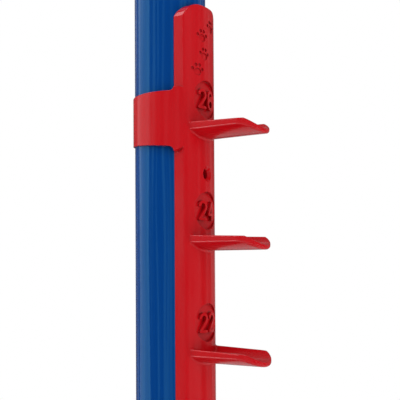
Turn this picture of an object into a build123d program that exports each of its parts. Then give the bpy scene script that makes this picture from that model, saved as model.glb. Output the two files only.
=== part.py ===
from build123d import *
from math import atan2, degrees, hypot
import os

# Jump upright for dog agility: a plain PVC pole with moulded cup strips clipped on.
# Millimetres, +Z up, the cups point along +X, the ground is z = 0.

INCH = 25.4
SPARE = 6.0

# Pole, one-inch furniture-grade PVC pipe
POLE_R = 16.7
POLE_BORE_R = 13.3
POLE_TOP = 30 * INCH
PLUG_SEAT_R = 13.6
PLUG_SEAT_DEPTH = 17.0
PILOT_R = 1.7

# Plug that closes the top of the pole
PLUG_FLANGE_H = 2.4
PLUG_SPIGOT_R = PLUG_SEAT_R - 0.05
PLUG_SPIGOT_H = 16.0
PLUG_WALL = 2.0
PLUG_EDGE = 1.0

# Strip: a saddle that lies on the front of the pole
RUN_FIT = 0.1
STRIP_BORE_R = POLE_R + RUN_FIT
STRIP_R = 20.55
STRIP_HALF_W = 12.75
STRIP_EDGE_R = 0.9
STRIP_CORNER_R = 8.2
STRIP_CORNER_OUT = 0.25
STRIP_JOINT_R = 1.5
STRIP_RIM_R = 0.6

# Clip bands: they wrap from the strip round the back of the pole
BAND_ABOVE = 14.6
BAND_BELOW = 10.1
BAND_SHIFT = 2.0
BAND_R = POLE_R + 2.35
BAND_ROOT_X = 12.7
BAND_ROOT_HALF_W = 10.0
BAND_MOUTH_HALF_ANGLE = 28
BAND_RISE = 0.075
BAND_FALL = 0.025
BAND_FLARE_TOP = 1.8
BAND_FLARE_LOW = 2.4

# Cups: shallow troughs whose rims stand at the marked height
CUP_HALF_W = 10.7
CUP_SIDE_H = 2.4
CUP_DEPTH = 6.1
CUP_INNER_HALF_W = 9.3
CUP_INNER_DEPTH = 3.9
CUP_START_X = 17.0
CUP_TIP_X = 50.9
CUP_TIP_LEN = 9.4
CUP_RIM_FALL = 0.035
CUP_LEVEL_X = 41.0
CUP_SPARE_H = 1.2
CUP_RIM_R = 0.6
CUP_CREASE_R = 1.2
CUP_ROOT_R = 1.0

# Height marks: a flat round pocket with the number standing in it
MARK_ABOVE = 12.1
MARK_R = 8.7
MARK_FLOOR_X = 18.75
PEN = 1.25
DIGIT_H = 7.8
DIGIT_W = 4.2
DIGIT_PITCH = 6.5

# Screw holes
HOLE_BELOW = 21.9
HOLE_R = 2.25
HOLE_SINK_R = 3.95
HOLE_SINK_X = 18.9

# Paw track pressed into the head of the upper strip
PAW_DEPTH = 0.5
PAW_PAD_R = 2.1
PAW_TOE_R = 0.78
PAW_TOES = [(-2.7, 1.3), (-1.0, 3.1), (1.0, 3.1), (2.7, 1.3)]
PAW_PLACES = [(-6.2, 24.0), (-2.0, 31.6), (-3.4, 39.8), (3.4, 45.2)]

# Layout of the two strips
UPPER_MARKS = [26, 24, 22, 20, 18, 16]
LOWER_MARKS = [14, 12, 10, 8, 6, 4]
UPPER_TOP = 26 * INCH + 54.9
UPPER_LOW = 387.5
LOWER_TOP = 387.0
LOWER_LOW = 3 * INCH
UPPER_BANDS = [26, 16]
LOWER_BANDS = [14, 4]
UPPER_HOLES = [26, 18]
LOWER_HOLES = [14, 6]

os.makedirs("parts", exist_ok=True)


def pen_line(x, a, b):
    """One straight pen stroke with round ends, cut out of the sketch, shifted by x."""
    dx = b[0] - a[0]
    dy = b[1] - a[1]
    angle = degrees(atan2(dy, dx))
    with Locations(Location((x + (a[0] + b[0]) / 2, (a[1] + b[1]) / 2, 0), (0, 0, angle))):
        SlotCenterToCenter(hypot(dx, dy), PEN, mode=Mode.SUBTRACT)


def pen_arc(x, center, radius, start, size):
    """One curved pen stroke with round ends."""
    arc = CenterArc((x + center[0], center[1]), radius, start, size, mode=Mode.PRIVATE)
    SlotArc(arc, PEN, mode=Mode.SUBTRACT)


def pen_ring(x, center, radius):
    """One closed round pen stroke."""
    with Locations((x + center[0], center[1])):
        Circle(radius + PEN / 2, mode=Mode.SUBTRACT)
        Circle(radius - PEN / 2)


def draw_digit(char, x):
    """Cuts a digit out of the sketch, centred on x, DIGIT_W by DIGIT_H on its centre line."""
    w = DIGIT_W / 2
    h = DIGIT_H / 2
    if char == "0":
        pen_arc(x, (0, h - w), w, 0, 180)
        pen_arc(x, (0, w - h), w, 180, 180)
        pen_line(x, (-w, w - h), (-w, h - w))
        pen_line(x, (w, w - h), (w, h - w))
    elif char == "1":
        pen_line(x, (0.5, -h), (0.5, h))
        pen_line(x, (0.5, h), (-w + 0.6, h - 1.5))
    elif char == "2":
        pen_arc(x, (0, h - w), w, -32, 197)
        pen_line(x, (w * 0.848, h - w - w * 0.53), (-w, -h))
        pen_line(x, (-w, -h), (w, -h))
    elif char == "4":
        pen_line(x, (0.9, -h), (0.9, h))
        pen_line(x, (0.9, h), (-w, -1.7))
        pen_line(x, (-w, -1.7), (w + 0.3, -1.7))
    elif char == "6":
        pen_ring(x, (0, w - h), w)
        pen_line(x, (-w, w - h), (-w, h - w))
        pen_arc(x, (0, h - w), w, 35, 145)
    elif char == "8":
        upper = (DIGIT_H - 2 * w) / 2
        pen_ring(x, (0, w - h), w)
        pen_ring(x, (0, h - upper), upper)


def number_pocket(number):
    """The flat pocket round a number: a disc with its digits left out."""
    with BuildSketch() as pocket:
        Circle(MARK_R)
        text = str(number)
        for i, char in enumerate(text):
            draw_digit(char, (i - (len(text) - 1) / 2) * DIGIT_PITCH)
    return pocket.sketch


def strip_blank(top, low, corner_top, corner_low):
    """The saddle-shaped strip before bands, cups and marks."""
    with BuildPart() as blank:
        with BuildSketch(Plane.XY.offset(low)) as section:
            Circle(STRIP_R)
            with Locations((STRIP_R, 0)):
                Rectangle(2 * STRIP_R, 2 * STRIP_HALF_W, mode=Mode.INTERSECT)
            Circle(STRIP_BORE_R, mode=Mode.SUBTRACT)
            corners = section.vertices().sort_by(Axis.X)[-2:]
            fillet(corners, STRIP_EDGE_R)
        extrude(amount=top - low)
        with BuildSketch(Plane.YZ) as front:
            with Locations((0, (top + low) / 2)):
                Rectangle(2 * (STRIP_HALF_W + STRIP_CORNER_OUT), top - low)
            uppers = front.vertices().sort_by(Axis.Y)[-2:]
            fillet(uppers, corner_top)
            lowers = front.vertices().sort_by(Axis.Y)[:2]
            fillet(lowers, corner_low)
        extrude(amount=STRIP_R + SPARE, mode=Mode.INTERSECT)
        ends = [
            edge
            for edge in blank.edges()
            if not low + STRIP_CORNER_R < edge.center().Z < top - STRIP_CORNER_R
            and min((v.X**2 + v.Y**2) ** 0.5 for v in edge.vertices()) > (STRIP_BORE_R + STRIP_R) / 2
        ]
        fillet(ends, STRIP_RIM_R)
    return blank.part


def clip_band():
    """One clip band, its zero height at the rim of the cup beside it."""
    with BuildPart() as band:
        with BuildSketch(Plane.XY.offset(-BAND_BELOW - SPARE)):
            with Locations((BAND_SHIFT, 0)):
                Circle(BAND_R)
            Circle(STRIP_R, mode=Mode.INTERSECT)
            Circle(STRIP_BORE_R, mode=Mode.SUBTRACT)
            with BuildLine():
                half = BAND_MOUTH_HALF_ANGLE
                far = Vector(-3 * BAND_R, 0)
                Polyline((0, 0), far.rotate(Axis.Z, half), far.rotate(Axis.Z, -half), close=True)
            make_face(mode=Mode.SUBTRACT)
            with Locations((STRIP_R, 0)):
                Rectangle(2 * STRIP_R, 2 * BAND_ROOT_HALF_W, mode=Mode.SUBTRACT)
        extrude(amount=BAND_ABOVE + BAND_BELOW + 2 * SPARE)
        with BuildSketch(Plane.XZ):
            with BuildLine():
                back = -BAND_R - SPARE
                high = BAND_ABOVE + BAND_FLARE_TOP
                low = -BAND_BELOW
                flare_low = low - BAND_FLARE_LOW
                top_x = BAND_ROOT_X - BAND_FLARE_TOP
                low_x = BAND_ROOT_X - BAND_FLARE_LOW
                back_top = BAND_ABOVE - BAND_FALL * (top_x - back)
                back_low = low + BAND_RISE * (BAND_ROOT_X - back)
                Line((back, back_low), (back, back_top))
                Line((back, back_top), (top_x, BAND_ABOVE))
                CenterArc((top_x, high), BAND_FLARE_TOP, -90, 90)
                Line((BAND_ROOT_X, high), (STRIP_R, high))
                Line((STRIP_R, high), (STRIP_R, low))
                Line((STRIP_R, low), (STRIP_BORE_R, low))
                Line((STRIP_BORE_R, low), (BAND_ROOT_X, flare_low))
                bend = CenterArc((low_x, flare_low), BAND_FLARE_LOW, 0, 90)
                Line(bend @ 1, (back, back_low))
            make_face()
        extrude(amount=BAND_R + SPARE, both=True, mode=Mode.INTERSECT)
    return band.part


def on_cup_outline(edge):
    """Whether an edge lies on the plan outline of a cup, away from its root."""
    straight_end = CUP_TIP_X - CUP_TIP_LEN
    on_line = all(
        abs(abs(v.Y) - CUP_HALF_W) < 0.01 or v.X > straight_end + 0.01 for v in edge.vertices()
    )
    return on_line and edge.center().X > CUP_START_X + 1


def cup():
    """One trough, its zero height at the rims' middle; the rims fall a little to the tip."""
    wide = CUP_HALF_W + CUP_RIM_R
    side_drop = CUP_DEPTH - CUP_SIDE_H
    under_r = (CUP_HALF_W**2 + side_drop**2) / (2 * side_drop)
    wide_drop = under_r - (under_r**2 - wide**2) ** 0.5
    inner_r = (CUP_INNER_HALF_W**2 + CUP_INNER_DEPTH**2) / (2 * CUP_INNER_DEPTH)
    mouth = (inner_r**2 - (inner_r - CUP_INNER_DEPTH - CUP_SPARE_H) ** 2) ** 0.5
    side = CUP_TIP_X - CUP_TIP_LEN
    with BuildPart() as trough:
        with BuildSketch(Plane.YZ.offset(CUP_START_X)):
            with BuildLine():
                Line((-mouth, CUP_SPARE_H), (-wide, CUP_SPARE_H))
                Line((-wide, CUP_SPARE_H), (-wide, wide_drop - CUP_DEPTH))
                ThreePointArc(
                    (-wide, wide_drop - CUP_DEPTH), (0, -CUP_DEPTH), (wide, wide_drop - CUP_DEPTH)
                )
                Line((wide, wide_drop - CUP_DEPTH), (wide, CUP_SPARE_H))
                Line((wide, CUP_SPARE_H), (mouth, CUP_SPARE_H))
                ThreePointArc((mouth, CUP_SPARE_H), (0, -CUP_INNER_DEPTH), (-mouth, CUP_SPARE_H))
            make_face()
        extrude(amount=CUP_TIP_X + SPARE - CUP_START_X)
        with BuildSketch(Plane.XY.offset(-CUP_DEPTH - SPARE)):
            with BuildLine():
                Line((0, CUP_HALF_W), (side, CUP_HALF_W))
                EllipticalCenterArc((side, 0), CUP_TIP_LEN, CUP_HALF_W, -90, arc_size=180)
                Line((side, -CUP_HALF_W), (0, -CUP_HALF_W))
                Line((0, -CUP_HALF_W), (0, CUP_HALF_W))
            make_face()
        extrude(amount=CUP_DEPTH + 2 * SPARE, mode=Mode.INTERSECT)
        with BuildSketch(Plane.XZ):
            with BuildLine():
                fall_start = CUP_RIM_FALL * (CUP_LEVEL_X - CUP_START_X)
                fall_end = CUP_RIM_FALL * (CUP_LEVEL_X - CUP_TIP_X)
                Line((CUP_START_X, fall_start), (CUP_TIP_X, fall_end))
                Line((CUP_TIP_X, fall_end), (CUP_TIP_X, -CUP_DEPTH - SPARE))
                Line((CUP_TIP_X, -CUP_DEPTH - SPARE), (CUP_START_X, -CUP_DEPTH - SPARE))
                Line((CUP_START_X, -CUP_DEPTH - SPARE), (CUP_START_X, fall_start))
            make_face()
        extrude(amount=wide, both=True, mode=Mode.INTERSECT)
        outline = trough.edges().filter_by(on_cup_outline)
        under = outline.filter_by(lambda edge: edge.center().Z < -CUP_DEPTH + 0.1)
        crease = outline.filter_by(lambda edge: abs(edge.center().Z + CUP_SIDE_H) < 0.1)
        fillet(under + crease, CUP_CREASE_R)
        outline = trough.edges().filter_by(on_cup_outline)
        tip = outline.filter_by(lambda edge: abs(edge.center().Z + CUP_INNER_DEPTH) < 0.1)
        rims = outline.filter_by(lambda edge: edge.center().Z > -CUP_RIM_R)
        fillet(tip + rims, CUP_RIM_R)
    return trough.part


def paw_track():
    """A rising track of paw prints, as deep as PAW_DEPTH below the strip's face."""
    with BuildPart() as track:
        with BuildSketch(Plane.YZ.offset(BAND_ROOT_X)):
            for y, z in PAW_PLACES:
                with Locations((y, z)):
                    Ellipse(PAW_PAD_R, PAW_PAD_R * 0.78)
                for dy, dz in PAW_TOES:
                    with Locations((y + dy, z + dz)):
                        Circle(PAW_TOE_R)
        extrude(amount=STRIP_R)
        with BuildSketch(Plane.XY):
            Circle(STRIP_R - PAW_DEPTH)
        extrude(amount=UPPER_TOP, mode=Mode.SUBTRACT)
    return track.part


def finish_strip(blank, marks, bands, holes):
    """Adds cups and bands to a strip, then cuts its marks and holes."""
    pockets = {number: number_pocket(number) for number in marks}
    with BuildPart() as strip:
        add(blank)
        for number in marks:
            add(cup().moved(Location((0, 0, number * INCH))))
        roots = [
            edge
            for edge in strip.edges()
            if CUP_START_X + 0.2 < edge.center().X < STRIP_R + 0.1
            and abs(edge.center().Y) < CUP_HALF_W + 0.1
            and any(-CUP_DEPTH - 0.1 < edge.center().Z - n * INCH < CUP_SPARE_H for n in marks)
        ]
        fillet(roots, CUP_ROOT_R)
        for number in bands:
            add(clip_band().moved(Location((0, 0, number * INCH))))
        for number in marks:
            center_z = number * INCH + MARK_ABOVE
            floor = Plane(origin=(MARK_FLOOR_X, 0, center_z), x_dir=(0, 1, 0), z_dir=(1, 0, 0))
            with BuildSketch(floor):
                add(pockets[number])
            extrude(amount=SPARE, mode=Mode.SUBTRACT)
        for number in holes:
            center_z = number * INCH - HOLE_BELOW
            with BuildSketch(Plane.YZ.offset(BAND_ROOT_X)):
                with Locations((0, center_z)):
                    Circle(HOLE_R)
            extrude(amount=STRIP_R, mode=Mode.SUBTRACT)
            with BuildSketch(Plane.YZ.offset(HOLE_SINK_X)):
                with Locations((0, center_z)):
                    Circle(HOLE_R)
            with BuildSketch(Plane.YZ.offset(STRIP_R + 0.4)):
                with Locations((0, center_z)):
                    Circle(HOLE_SINK_R)
            loft(mode=Mode.SUBTRACT)
    return strip.part


# Pole
with BuildPart() as pole:
    Cylinder(POLE_R, POLE_TOP, align=(Align.CENTER, Align.CENTER, Align.MIN))
    Cylinder(POLE_BORE_R, POLE_TOP, align=(Align.CENTER, Align.CENTER, Align.MIN), mode=Mode.SUBTRACT)
    with Locations((0, 0, POLE_TOP)):
        Cylinder(
            PLUG_SEAT_R,
            PLUG_SEAT_DEPTH,
            align=(Align.CENTER, Align.CENTER, Align.MAX),
            mode=Mode.SUBTRACT,
        )
    with BuildSketch(Plane.YZ):
        for number in UPPER_HOLES + LOWER_HOLES:
            with Locations((0, number * INCH - HOLE_BELOW)):
                Circle(PILOT_R)
    extrude(amount=POLE_R + SPARE, mode=Mode.SUBTRACT)
pole.part.label = "pole"
export_step(pole.part, "parts/pole.step")

# Plug in the top of the pole
with BuildPart() as pole_plug:
    with Locations((0, 0, POLE_TOP)):
        Cylinder(POLE_R, PLUG_FLANGE_H, align=(Align.CENTER, Align.CENTER, Align.MIN))
        Cylinder(PLUG_SPIGOT_R, PLUG_SPIGOT_H, align=(Align.CENTER, Align.CENTER, Align.MAX))
    rings = pole_plug.edges().filter_by(GeomType.CIRCLE).sort_by(Axis.Z)
    fillet(rings[-1], PLUG_EDGE)
    chamfer(rings[0], 0.8)
    with Locations((0, 0, POLE_TOP - 1)):
        Cylinder(
            PLUG_SPIGOT_R - PLUG_WALL,
            PLUG_SPIGOT_H,
            align=(Align.CENTER, Align.CENTER, Align.MAX),
            mode=Mode.SUBTRACT,
        )
pole_plug.part.label = "pole_plug"
export_step(pole_plug.part, "parts/pole_plug.step")

# Upper strip, marks 26 to 16
with BuildPart() as strip_upper:
    blank = strip_blank(UPPER_TOP, UPPER_LOW, STRIP_CORNER_R, STRIP_JOINT_R)
    add(finish_strip(blank, UPPER_MARKS, UPPER_BANDS, UPPER_HOLES))
    add(paw_track().moved(Location((0, 0, 26 * INCH))), mode=Mode.SUBTRACT)
strip_upper.part.label = "strip_upper"
export_step(strip_upper.part, "parts/strip_upper.step")

# Lower strip, marks 14 to 4
with BuildPart() as strip_lower:
    blank = strip_blank(LOWER_TOP, LOWER_LOW, STRIP_JOINT_R, STRIP_CORNER_R)
    add(finish_strip(blank, LOWER_MARKS, LOWER_BANDS, LOWER_HOLES))
strip_lower.part.label = "strip_lower"
export_step(strip_lower.part, "parts/strip_lower.step")
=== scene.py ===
"""Looks of the jump upright: glossy blue pole and plug, glossy red moulded cup strips, pale studio.

Lengths are in metres, light powers in watts, and compass angles in degrees from +X towards +Y.
"""

import math

import bpy
from mathutils import Matrix, Vector


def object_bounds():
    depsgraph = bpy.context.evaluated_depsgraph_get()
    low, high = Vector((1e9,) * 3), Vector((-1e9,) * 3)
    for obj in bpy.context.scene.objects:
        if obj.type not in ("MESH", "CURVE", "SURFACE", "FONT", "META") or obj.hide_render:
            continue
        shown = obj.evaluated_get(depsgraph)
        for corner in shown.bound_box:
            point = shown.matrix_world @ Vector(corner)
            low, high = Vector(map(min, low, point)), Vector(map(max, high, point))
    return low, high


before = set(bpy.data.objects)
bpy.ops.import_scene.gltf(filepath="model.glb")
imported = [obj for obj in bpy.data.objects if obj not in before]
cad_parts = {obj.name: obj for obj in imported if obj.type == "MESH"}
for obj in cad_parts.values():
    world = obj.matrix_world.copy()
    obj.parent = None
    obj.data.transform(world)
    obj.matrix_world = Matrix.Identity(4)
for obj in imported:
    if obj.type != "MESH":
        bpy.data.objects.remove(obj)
cad_low, cad_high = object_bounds()

MM = 0.001
INCH = 25.4 * MM
CUP_24 = 24 * INCH
MIDDLE = Vector((0, 0, CUP_24))

# Painted shade: the colour is darkened in grooves and pockets, by how closed in a place is
NOOK_REACH = 3.0 * MM
NOOK_DARK = 0.45
NOOK_CLOSED = 0.2
NOOK_OPEN = 0.85

# Fine skin of the moulded surface
SKIN_STRENGTH = 0.06
SKIN_DEPTH = 0.4 * MM

# Floor: radius and height of each ring
FLOOR_RINGS = ((0.40, 0.0), (0.90, 0.0), (1.16, 0.0), (1.19, -0.002), (1.20, -0.006), (1.20, -0.020))
FLOOR_SIDES = 96
FLOOR_DROP = 0.2 * MM

# Light tent: even light, and what the gloss mirrors on its near and far sides
SOFT_LIGHT = 0.60
MIRROR_NEAR = 0.02
MIRROR_FAR = 0.09
FAR_SIDE_AZIMUTH = 100.0
FAR_SIDE_START = -0.15
FAR_SIDE_FULL = 0.55
FOLD_LOW = 0.0
FOLD_HIGH = 0.5

# Camera, at the photograph's viewing angle; sensor and lens are in millimetres
CAM_AZIMUTH = math.radians(-54.9)
CAM_DISTANCE = 365.8 * MM
CAM_HEIGHT = CUP_24 - 13.05 * MM
CAM_YAW = math.radians(122.98)
CAM_PITCH = math.radians(1.6)
CAM_ROLL = math.radians(-0.35)
CAM_SENSOR = 36.0
CAM_LENS = 70.146
CAM_SHIFT_Y = 0.1107
CAM_NEAR = 0.01
CAM_FAR = 50.0

# Sockets of the Mix node when it mixes colours
MIX_FACTOR = 0
MIX_A = 6
MIX_B = 7
MIX_RESULT = 2


# ---------------------------------------------------------------- node helpers


def new_material(name):
    mat = bpy.data.materials.new(name)
    mat.use_nodes = True
    tree = mat.node_tree
    tree.nodes.clear()
    out = tree.nodes.new("ShaderNodeOutputMaterial")
    bsdf = tree.nodes.new("ShaderNodeBsdfPrincipled")
    tree.links.new(bsdf.outputs["BSDF"], out.inputs["Surface"])
    return mat, tree, bsdf


def object_coords(tree):
    return tree.nodes.new("ShaderNodeTexCoord").outputs["Object"]


def noise(tree, vector, scale, detail, rough=0.5):
    node = tree.nodes.new("ShaderNodeTexNoise")
    node.inputs["Scale"].default_value = scale
    node.inputs["Detail"].default_value = detail
    node.inputs["Roughness"].default_value = rough
    tree.links.new(vector, node.inputs["Vector"])
    return node.outputs["Fac"]


def stretched(tree, vector, scale):
    node = tree.nodes.new("ShaderNodeMapping")
    node.inputs["Scale"].default_value = scale
    tree.links.new(vector, node.inputs["Vector"])
    return node.outputs["Vector"]


def remap(tree, value, low, high, from_low=0.3, from_high=0.7):
    """Linear step between two levels; the default input range is where most of a noise lies."""
    node = tree.nodes.new("ShaderNodeMapRange")
    node.inputs["From Min"].default_value = from_low
    node.inputs["From Max"].default_value = from_high
    node.inputs["To Min"].default_value = low
    node.inputs["To Max"].default_value = high
    tree.links.new(value, node.inputs["Value"])
    return node.outputs["Result"]


def mix_colour(tree, factor, a, b):
    node = tree.nodes.new("ShaderNodeMix")
    node.data_type = "RGBA"
    node.inputs[MIX_A].default_value = (*a, 1.0)
    node.inputs[MIX_B].default_value = (*b, 1.0)
    tree.links.new(factor, node.inputs[MIX_FACTOR])
    return node.outputs[MIX_RESULT]


def shaded(tree, colour, shade):
    node = tree.nodes.new("ShaderNodeMix")
    node.data_type = "RGBA"
    node.blend_type = "MULTIPLY"
    node.inputs[MIX_FACTOR].default_value = 1.0
    tree.links.new(colour, node.inputs[MIX_A])
    tree.links.new(shade, node.inputs[MIX_B])
    return node.outputs[MIX_RESULT]


def painted_nook_shade(tree):
    """Painted shade for the colour: 1 in the open, down to NOOK_DARK inside grooves and pockets."""
    node = tree.nodes.new("ShaderNodeAmbientOcclusion")
    node.samples = 8
    node.inputs["Distance"].default_value = NOOK_REACH
    return remap(tree, node.outputs["AO"], NOOK_DARK, 1.0, NOOK_CLOSED, NOOK_OPEN)


def soft_edge(tree, radius):
    node = tree.nodes.new("ShaderNodeBevel")
    node.samples = 8
    node.inputs["Radius"].default_value = radius
    return node.outputs["Normal"]


def bump(tree, height, normal, strength, distance):
    node = tree.nodes.new("ShaderNodeBump")
    node.inputs["Strength"].default_value = strength
    node.inputs["Distance"].default_value = distance
    tree.links.new(height, node.inputs["Height"])
    tree.links.new(normal, node.inputs["Normal"])
    return node.outputs["Normal"]


def math_node(tree, operation, *values):
    node = tree.nodes.new("ShaderNodeMath")
    node.operation = operation
    for socket, value in zip(node.inputs, values):
        if isinstance(value, (int, float)):
            socket.default_value = value
        else:
            tree.links.new(value, socket)
    return node.outputs["Value"]


# ---------------------------------------------------------------- plastics


def plastic(name, deep, light, roughness, grain, edge_radius, swirl, wave, ior, tint):
    """Moulded plastic: colour drift, painted shade in nooks, uneven gloss, slow waves, fine skin, soft
    edges.
    """
    mat, tree, bsdf = new_material(name)
    coords = object_coords(tree)
    drift = noise(tree, stretched(tree, coords, swirl), scale=9.0, detail=3.0)
    colour = mix_colour(tree, remap(tree, drift, 0.0, 1.0), deep, light)
    # Painted shade: the base colour is multiplied darker in grooves, pockets and joints by ambient
    # occlusion
    tree.links.new(shaded(tree, colour, painted_nook_shade(tree)), bsdf.inputs["Base Color"])

    gloss = noise(tree, coords, scale=60.0, detail=3.0, rough=0.6)
    uneven = remap(tree, gloss, roughness * 0.85, roughness * 1.2)
    tree.links.new(uneven, bsdf.inputs["Roughness"])

    slow = noise(tree, stretched(tree, coords, swirl), scale=70.0, detail=1.0)
    waves = bump(tree, slow, soft_edge(tree, edge_radius), strength=1.0, distance=wave)
    skin = noise(tree, coords, scale=grain, detail=2.0, rough=0.55)
    tree.links.new(bump(tree, skin, waves, SKIN_STRENGTH, SKIN_DEPTH), bsdf.inputs["Normal"])

    bsdf.inputs["IOR"].default_value = ior
    bsdf.inputs["Specular Tint"].default_value = (*tint, 1.0)
    return mat


def dress(node_name, mat):
    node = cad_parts[node_name]
    for slot in node.material_slots:
        slot.material = mat
    if not node.material_slots:
        node.data.materials.append(mat)


# ---------------------------------------------------------------- studio


def floor_disc():
    """A pale round floor with a softly rolled rim."""
    points = [(0.0, 0.0, 0.0)]
    for radius, height in FLOOR_RINGS:
        for i in range(FLOOR_SIDES):
            turn = 2 * math.pi * i / FLOOR_SIDES
            points.append((radius * math.cos(turn), radius * math.sin(turn), height))
    faces = [(0, 1 + i, 1 + (i + 1) % FLOOR_SIDES) for i in range(FLOOR_SIDES)]
    for ring in range(len(FLOOR_RINGS) - 1):
        inner = 1 + ring * FLOOR_SIDES
        outer = inner + FLOOR_SIDES
        for i in range(FLOOR_SIDES):
            j = (i + 1) % FLOOR_SIDES
            faces.append((inner + i, outer + i, outer + j, inner + j))
    mesh = bpy.data.meshes.new("floor")
    mesh.from_pydata(points, [], faces)
    mesh.update()
    floor = bpy.data.objects.new("floor", mesh)
    bpy.context.scene.collection.objects.link(floor)
    floor.location.z = cad_low[2] - FLOOR_DROP

    mat, tree, bsdf = new_material("floor_paint")
    cloudy = noise(tree, object_coords(tree), scale=3.0, detail=2.0)
    paint = mix_colour(tree, cloudy, (0.80, 0.80, 0.80), (0.84, 0.84, 0.84))
    tree.links.new(paint, bsdf.inputs["Base Color"])
    bsdf.inputs["Roughness"].default_value = 0.75
    mesh.materials.append(mat)


def facing(tree, direction, azimuth, start, full):
    """0 to 1: how far a direction looks towards a compass angle, with a soft step between."""
    dot = tree.nodes.new("ShaderNodeVectorMath")
    dot.operation = "DOT_PRODUCT"
    tree.links.new(direction, dot.inputs[0])
    turn = math.radians(azimuth)
    dot.inputs[1].default_value = (math.cos(turn), math.sin(turn), 0.0)
    step = tree.nodes.new("ShaderNodeMapRange")
    step.interpolation_type = "SMOOTHSTEP"
    step.inputs["From Min"].default_value = start
    step.inputs["From Max"].default_value = full
    tree.links.new(dot.outputs["Value"], step.inputs["Value"])
    return step.outputs["Result"]


def world_light():
    """White backdrop, soft even light, and folded tent walls that only the gloss mirrors."""
    world = bpy.data.worlds.new("studio")
    bpy.context.scene.world = world
    world.use_nodes = True
    tree = world.node_tree
    tree.nodes.clear()
    out = tree.nodes.new("ShaderNodeOutputWorld")
    back = tree.nodes.new("ShaderNodeBackground")
    rays = tree.nodes.new("ShaderNodeLightPath")
    is_camera = rays.outputs["Is Camera Ray"]
    is_glossy = rays.outputs["Is Glossy Ray"]

    direction = tree.nodes.new("ShaderNodeTexCoord").outputs["Generated"]
    far_side = facing(tree, direction, FAR_SIDE_AZIMUTH, FAR_SIDE_START, FAR_SIDE_FULL)
    walls = math_node(tree, "MULTIPLY_ADD", far_side, MIRROR_FAR - MIRROR_NEAR, MIRROR_NEAR)
    drapes = noise(tree, stretched(tree, direction, (1.0, 1.0, 0.15)), scale=9.0, detail=1.5)
    folds = remap(tree, drapes, FOLD_LOW, FOLD_HIGH, from_low=0.5, from_high=0.6)
    mirrored = math_node(tree, "MULTIPLY", is_glossy, math_node(tree, "ADD", walls, folds))

    others = math_node(tree, "SUBTRACT", 1.0, is_glossy)
    soft = math_node(tree, "MULTIPLY", others, SOFT_LIGHT)
    light = math_node(tree, "ADD", mirrored, soft)
    unseen = math_node(tree, "SUBTRACT", 1.0, is_camera)
    strength = math_node(tree, "MULTIPLY_ADD", light, unseen, is_camera)
    back.inputs["Color"].default_value = (1.0, 1.0, 1.0, 1.0)
    tree.links.new(strength, back.inputs["Strength"])
    tree.links.new(back.outputs["Background"], out.inputs["Surface"])


def area_light(name, azimuth, distance, height, size, watts):
    """A soft panel beside the pole that faces MIDDLE; height is over MIDDLE."""
    data = bpy.data.lights.new(name, "AREA")
    data.shape = "RECTANGLE"
    data.size = size[0]
    data.size_y = size[1]
    data.energy = watts
    lamp = bpy.data.objects.new(name, data)
    bpy.context.scene.collection.objects.link(lamp)
    turn = math.radians(azimuth)
    offset = Vector((math.cos(turn) * distance, math.sin(turn) * distance, height))
    lamp.location = MIDDLE + offset
    lamp.rotation_euler = (-offset).to_track_quat("-Z", "Y").to_euler()
    return lamp


def card(name, azimuth, distance, height, side, watts):
    """A panel that the gloss mirrors, and that doesn't light the colour."""
    lamp = area_light(name, azimuth, distance, height, (side, side), watts)
    lamp.visible_diffuse = False


def fill(name, azimuth, height, watts, distance=1.2, side=0.8):
    """A panel that lights the colour, and that the gloss doesn't mirror."""
    lamp = area_light(name, azimuth, distance, height, (side, side), watts)
    lamp.visible_glossy = False


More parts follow.
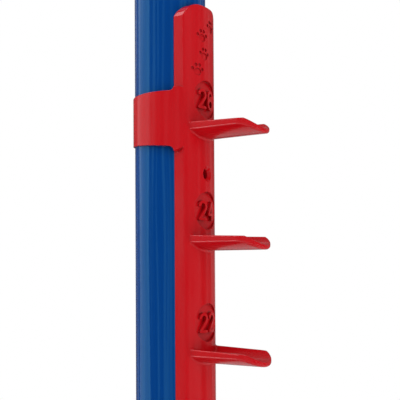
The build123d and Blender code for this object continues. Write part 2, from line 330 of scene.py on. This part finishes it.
def place_camera():
    data = bpy.data.cameras.new("camera")
    data.sensor_width = CAM_SENSOR
    data.lens = CAM_LENS
    data.shift_y = CAM_SHIFT_Y
    data.clip_start = CAM_NEAR
    data.clip_end = CAM_FAR
    cam = bpy.data.objects.new("camera", data)
    bpy.context.scene.collection.objects.link(cam)
    look = Vector(
        (
            math.cos(CAM_YAW) * math.cos(CAM_PITCH),
            math.sin(CAM_YAW) * math.cos(CAM_PITCH),
            math.sin(CAM_PITCH),
        )
    )
    right = look.cross(Vector((0, 0, 1))).normalized()
    up = right.cross(look)
    turned_right = right * math.cos(CAM_ROLL) + up * math.sin(CAM_ROLL)
    turned_up = up * math.cos(CAM_ROLL) - right * math.sin(CAM_ROLL)
    cam.matrix_world = Matrix(
        (
            (turned_right.x, turned_up.x, -look.x, CAM_DISTANCE * math.cos(CAM_AZIMUTH)),
            (turned_right.y, turned_up.y, -look.y, CAM_DISTANCE * math.sin(CAM_AZIMUTH)),
            (turned_right.z, turned_up.z, -look.z, CAM_HEIGHT),
            (0, 0, 0, 1),
        )
    )
    bpy.context.scene.camera = cam


# ---------------------------------------------------------------- the scene

red = plastic(
    "moulded_red",
    deep=(0.50, 0.002, 0.005),
    light=(0.53, 0.003, 0.008),
    roughness=0.2,
    grain=900.0,
    edge_radius=0.25 * MM,
    swirl=(1.0, 1.0, 0.35),
    wave=0.05 * MM,
    ior=1.42,
    tint=(1.0, 0.85, 0.9),
)
blue = plastic(
    "pipe_blue",
    deep=(0.001, 0.043, 0.218),
    light=(0.002, 0.052, 0.255),
    roughness=0.11,
    grain=500.0,
    edge_radius=0.4 * MM,
    swirl=(1.0, 1.0, 0.14),
    wave=0.9 * MM,
    ior=1.62,
    tint=(0.2, 0.9, 1.0),
)
dress("pole", blue)
dress("pole_plug", blue)
dress("strip_upper", red)
dress("strip_lower", red)

floor_disc()
world_light()
place_camera()
area_light("softbox_left", azimuth=-152, distance=1.1, height=0.25, size=(1.0, 1.4), watts=3.4)
area_light("softbox_high", azimuth=-66, distance=0.75, height=0.95, size=(0.5, 0.5), watts=3.2)
card("card_high", azimuth=-145, distance=0.78, height=0.78, side=0.6, watts=4.5)
card("card_low", azimuth=-136, distance=0.80, height=-0.50, side=0.4, watts=2.5)
fill("fill_left", azimuth=-130, height=0.3, watts=3.6)
fill("fill_front", azimuth=-62, height=0.2, watts=0.6)
fill("fill_right", azimuth=5, height=-0.4, watts=7.8)

view = bpy.context.scene.view_settings
view.view_transform = "Standard"
view.look = "None"
